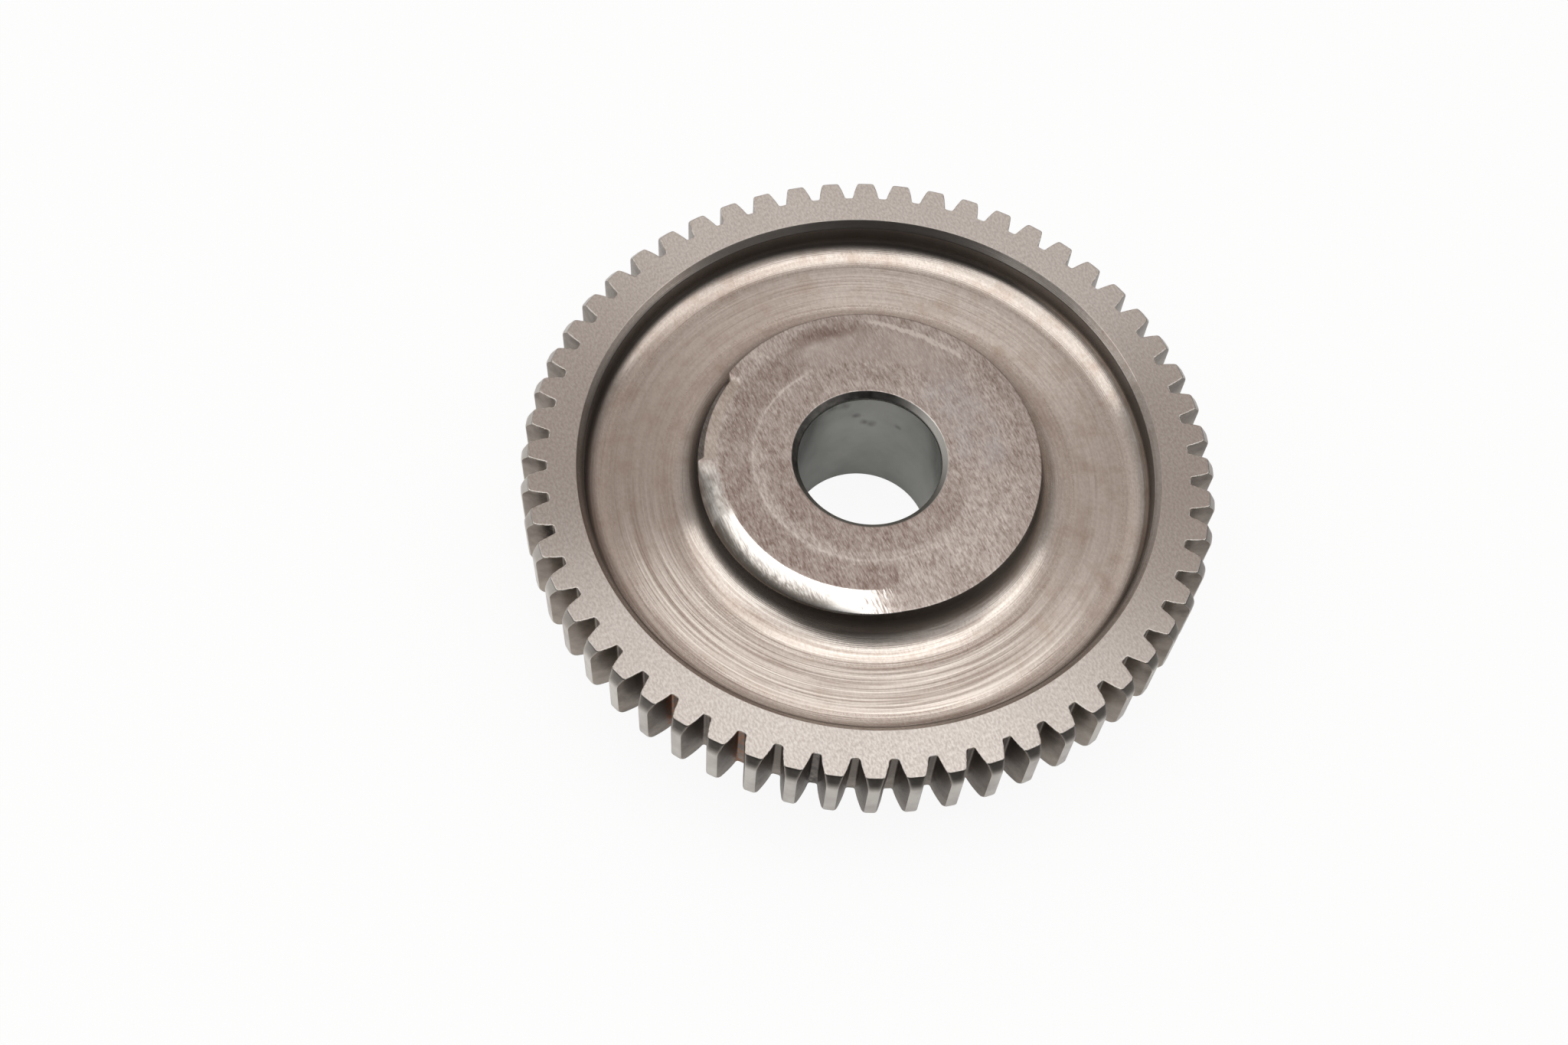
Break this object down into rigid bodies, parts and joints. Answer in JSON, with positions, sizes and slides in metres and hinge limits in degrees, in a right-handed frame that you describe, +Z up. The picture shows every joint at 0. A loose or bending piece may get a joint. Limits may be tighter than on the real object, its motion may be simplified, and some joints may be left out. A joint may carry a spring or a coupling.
{
  "type": "starter gear",
  "caption": "Spur gear wheel for a starter drive: a toothed rim, a recessed web, a flush hub with a plain bore and a plain boss on the back.",
  "frame": {"origin": "centre of the bore at the end face of the boss, where the gear stands", "axes": "+Z up the bore axis towards the recessed side, +X through the middle of a tooth"},
  "size_m": [0.087, 0.087, 0.0208],
  "materials": {
    "turned_steel": "turned and hobbed bare steel, satin"
  },
  "bodies": {
    "root": {"starter_gear": "turned_steel"}
  },
  "joints": []
}
